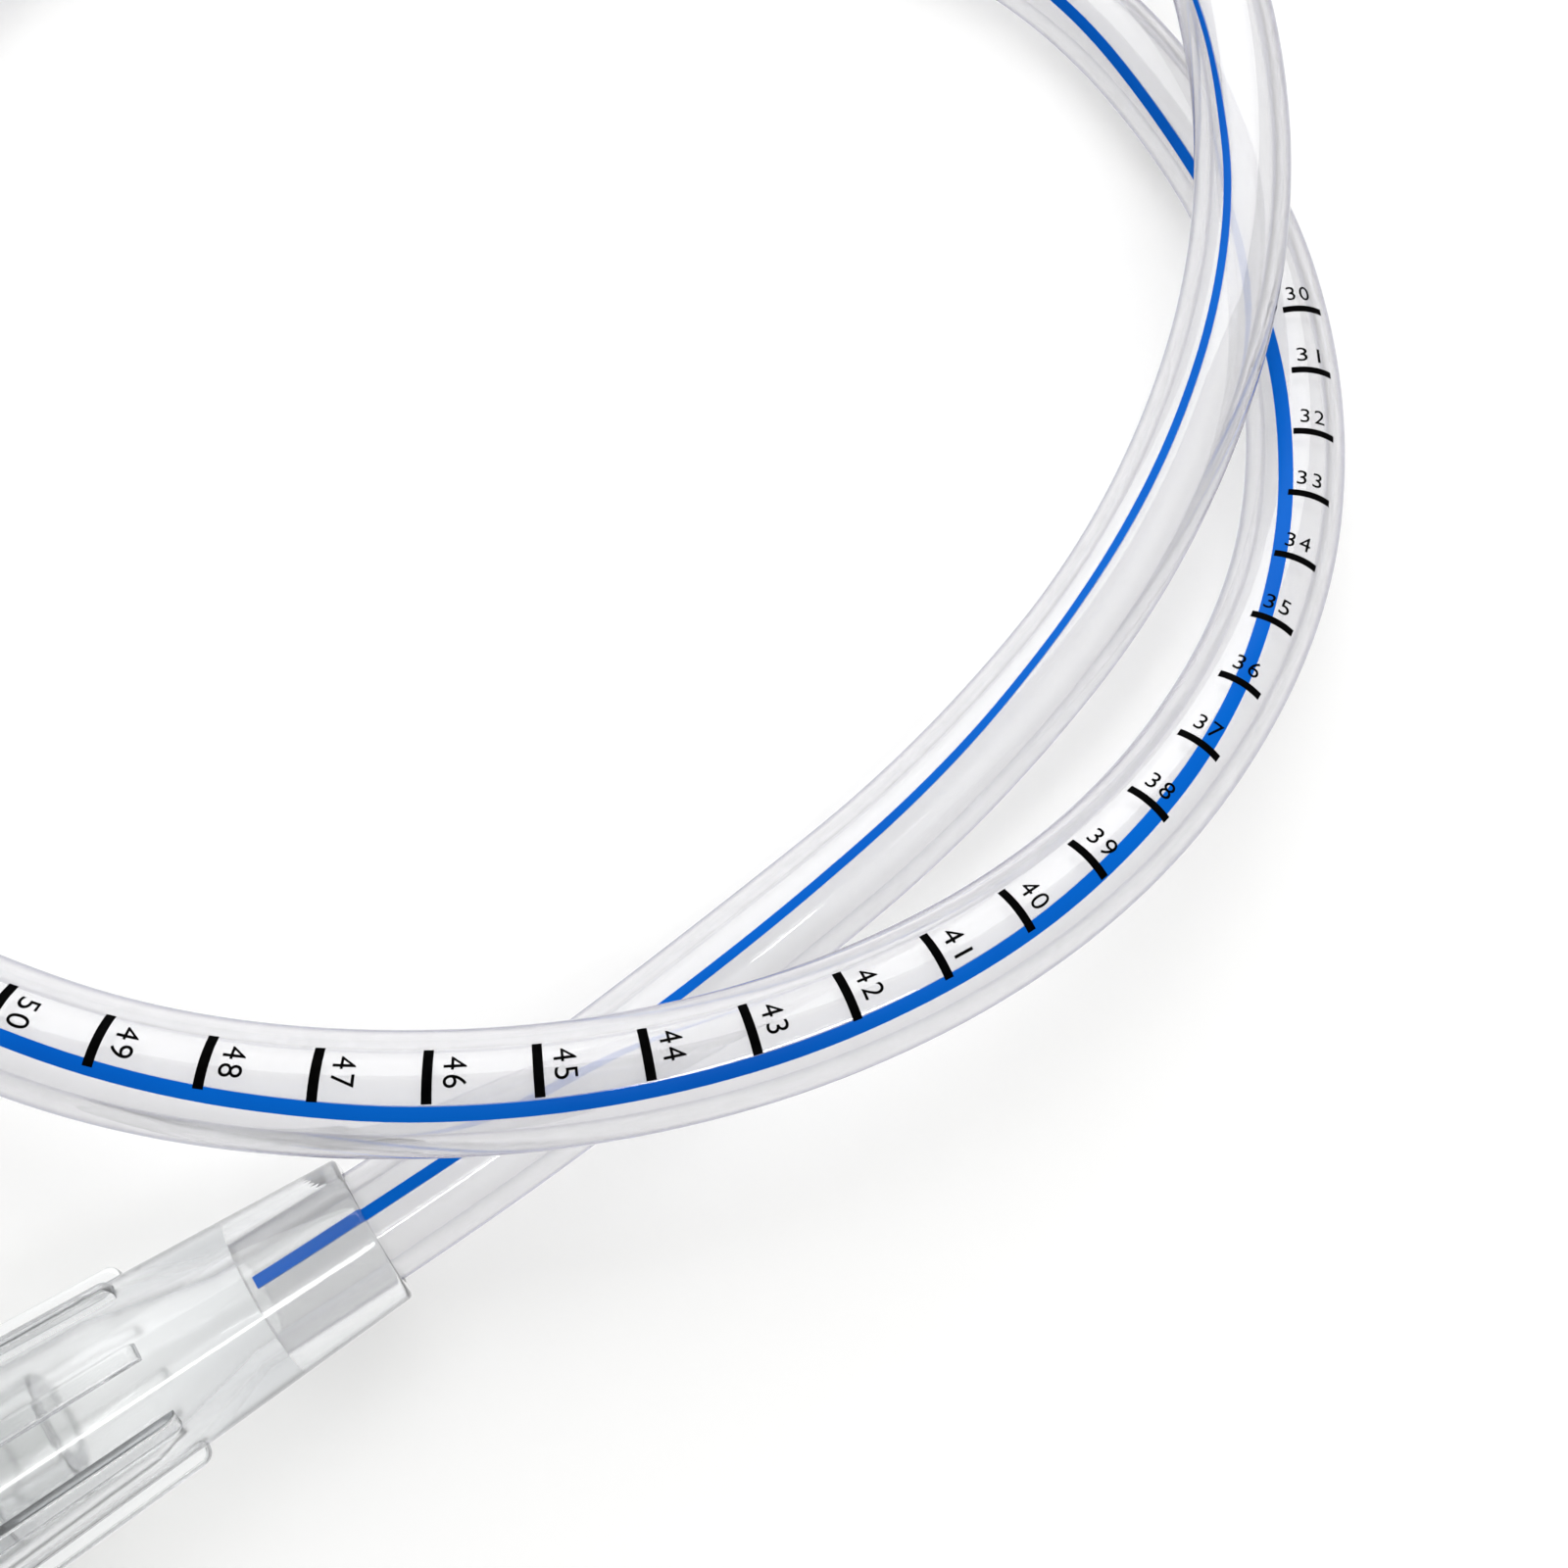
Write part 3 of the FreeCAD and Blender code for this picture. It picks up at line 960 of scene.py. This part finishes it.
def make_adapter():
    """The suction adapter: nose, tapered seat, stop collar and plain nipple."""
    seat_front = FACE_RADIUS + TAPER * PLUG_START - CAVITY_WALL - SEAT_GAP
    seat_back = FACE_RADIUS + TAPER * CONNECTOR_LENGTH - CAVITY_WALL - SEAT_GAP
    profile = [
        (STEM_END, ADAPTER_BORE_RADIUS),
        (STEM_END, STEM_RADIUS),
        (PLUG_START, STEM_RADIUS),
        (PLUG_START, seat_front),
        (CONNECTOR_LENGTH, seat_back),
        (CONNECTOR_LENGTH, COLLAR_RADIUS),
        (COLLAR_END, COLLAR_RADIUS),
        (COLLAR_END, NIPPLE_RADIUS),
        (NIPPLE_END - NIPPLE_CHAMFER, NIPPLE_RADIUS),
        (NIPPLE_END, NIPPLE_RADIUS - NIPPLE_CHAMFER),
        (NIPPLE_END, ADAPTER_BORE_RADIUS),
    ]
    profile = along_profile(rounded(profile, ADAPTER_CORNERS), LONGEST_ROW)
    vertices = []
    rows = []
    for along, radius in profile:
        rows.append(len(vertices))
        for i in range(ADAPTER_SIDES):
            turn = 2 * math.pi * i / ADAPTER_SIDES
            vertices.append((along, radius * math.sin(turn), radius * math.cos(turn)))
    faces = ring_faces(rows + [rows[0]], ADAPTER_SIDES)
    place = connector_matrix()
    vertices = [place @ Vector(vertex) for vertex in vertices]
    piece = new_piece("suction_adapter_body", vertices, faces, rigid)
    face_outwards(piece)
    shade(piece, MOULDING_CRISP)
    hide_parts("suction_adapter")


def make_camera():
    """The camera at the photograph's place and angle."""
    forward = Vector((0, math.cos(CAMERA_PITCH), -math.sin(CAMERA_PITCH)))
    level = Vector((1, 0, 0))
    raised = Vector((0, math.sin(CAMERA_PITCH), math.cos(CAMERA_PITCH)))
    right = math.cos(CAMERA_ROLL) * level + math.sin(CAMERA_ROLL) * raised
    upward = math.cos(CAMERA_ROLL) * raised - math.sin(CAMERA_ROLL) * level
    data = bpy.data.cameras.new("camera")
    data.lens = LENS
    data.sensor_width = SENSOR
    data.clip_start = CAMERA_NEAR
    camera = bpy.data.objects.new("camera", data)
    turn = Matrix((right, upward, -forward)).transposed().to_4x4()
    camera.matrix_world = Matrix.Translation(CAMERA_PLACE) @ turn
    bpy.context.scene.collection.objects.link(camera)
    bpy.context.scene.camera = camera


def seen_by(nodes, links, kinds):
    """1 for the kinds of ray named, 0 for light that falls on the object."""
    path = nodes.new("ShaderNodeLightPath")
    total = path.outputs[kinds[0]]
    for name in kinds[1:]:
        join = nodes.new("ShaderNodeMath")
        join.operation = "MAXIMUM"
        links.new(total, join.inputs[0])
        links.new(path.outputs[name], join.inputs[1])
        total = join.outputs[0]
    return total


def make_floor():
    """A plain white floor with the object's soft shadow, seen evenly through clear plastic."""
    reach = FLOOR_REACH
    corners = [(-reach, -reach, 0), (reach, -reach, 0), (reach, reach, 0), (-reach, reach, 0)]
    mesh = bpy.data.meshes.new("floor")
    mesh.from_pydata(corners, [], [(0, 1, 2, 3)])
    floor = bpy.data.objects.new("floor", mesh)
    bpy.context.scene.collection.objects.link(floor)
    material = bpy.data.materials.new("white_floor")
    material.use_nodes = True
    nodes = material.node_tree.nodes
    links = material.node_tree.links
    surface = nodes["Principled BSDF"]
    set_input(surface, "Base Color", FLOOR_COLOUR)
    set_input(surface, "Roughness", 1.0)
    set_input(surface, "Specular IOR Level", 0.0)
    glow = nodes.new("ShaderNodeEmission")
    shown = nodes.new("ShaderNodeMath")
    shown.operation = "MULTIPLY"
    shown.inputs[1].default_value = FLOOR_GLOW
    links.new(seen_by(nodes, links, CAMERA_RAYS), shown.inputs[0])
    links.new(shown.outputs[0], glow.inputs["Strength"])
    both = nodes.new("ShaderNodeAddShader")
    links.new(surface.outputs[0], both.inputs[0])
    links.new(glow.outputs[0], both.inputs[1])
    slant = nodes.new("ShaderNodeLayerWeight")
    upward = nodes.new("ShaderNodeMapRange")
    set_input(upward, "From Min", GLOW_SLANT[0])
    set_input(upward, "From Max", GLOW_SLANT[1])
    set_input(upward, "To Min", FLOOR_THROUGH)
    set_input(upward, "To Max", 0.0)
    links.new(slant.outputs["Facing"], upward.inputs["Value"])
    even = nodes.new("ShaderNodeEmission")
    links.new(upward.outputs["Result"], even.inputs["Strength"])
    share = nodes.new("ShaderNodeMath")
    share.operation = "MULTIPLY"
    share.inputs[1].default_value = THROUGH_SHARE
    links.new(seen_by(nodes, links, THROUGH_RAYS), share.inputs[0])
    mix = nodes.new("ShaderNodeMixShader")
    links.new(share.outputs[0], mix.inputs[0])
    links.new(both.outputs[0], mix.inputs[1])
    links.new(even.outputs[0], mix.inputs[2])
    links.new(mix.outputs[0], nodes["Material Output"].inputs["Surface"])
    mesh.materials.append(material)


def make_world():
    """Even warm light, a white backdrop, and a studio that only gloss and clear plastic see."""
    world = bpy.data.worlds.new("studio")
    world.use_nodes = True
    nodes = world.node_tree.nodes
    links = world.node_tree.links
    light = nodes["Background"]
    set_input(light, "Color", WORLD_COLOUR)
    set_input(light, "Strength", WORLD_LIGHT)
    place = nodes.new("ShaderNodeTexCoord")
    split = nodes.new("ShaderNodeSeparateXYZ")
    links.new(place.outputs["Generated"], split.inputs[0])
    ramp = nodes.new("ShaderNodeValToRGB")
    first, last = ramp.color_ramp.elements
    first.color = (*STUDIO[0][1], 1)
    last.color = (*STUDIO[-1][1], 1)
    for height, tone in STUDIO[1:-1]:
        ramp.color_ramp.elements.new(height).color = (*tone, 1)
    links.new(split.outputs["Z"], ramp.inputs["Fac"])
    studio = nodes.new("ShaderNodeBackground")
    links.new(ramp.outputs["Color"], studio.inputs["Color"])
    in_gloss = nodes.new("ShaderNodeMixShader")
    links.new(seen_by(nodes, links, THROUGH_RAYS), in_gloss.inputs[0])
    links.new(light.outputs[0], in_gloss.inputs[1])
    links.new(studio.outputs[0], in_gloss.inputs[2])
    backdrop = nodes.new("ShaderNodeBackground")
    set_input(backdrop, "Color", BACKDROP_COLOUR)
    seen = nodes.new("ShaderNodeMixShader")
    links.new(seen_by(nodes, links, CAMERA_RAYS), seen.inputs[0])
    links.new(in_gloss.outputs[0], seen.inputs[1])
    links.new(backdrop.outputs[0], seen.inputs[2])
    links.new(seen.outputs[0], nodes["World Output"].inputs["Surface"])
    bpy.context.scene.world = world


def area_light(name, place, target, width, height, power):
    """A soft rectangular lamp that points at a target."""
    data = bpy.data.lights.new(name, "AREA")
    data.shape = "RECTANGLE"
    data.size = width
    data.size_y = height
    data.energy = power
    lamp = bpy.data.objects.new(name, data)
    lamp.location = place
    lamp.rotation_euler = (Vector(target) - Vector(place)).to_track_quat("-Z", "Y").to_euler()
    bpy.context.scene.collection.objects.link(lamp)


make_camera()
make_world()
make_floor()
for lamp in LAMPS:
    area_light(*lamp)

tube = make_tube()
stripe = make_stripe()
ticks = make_ticks()
numbers = make_numbers()
make_connector()
make_adapter()

bpy.context.scene.view_settings.view_transform = "Standard"
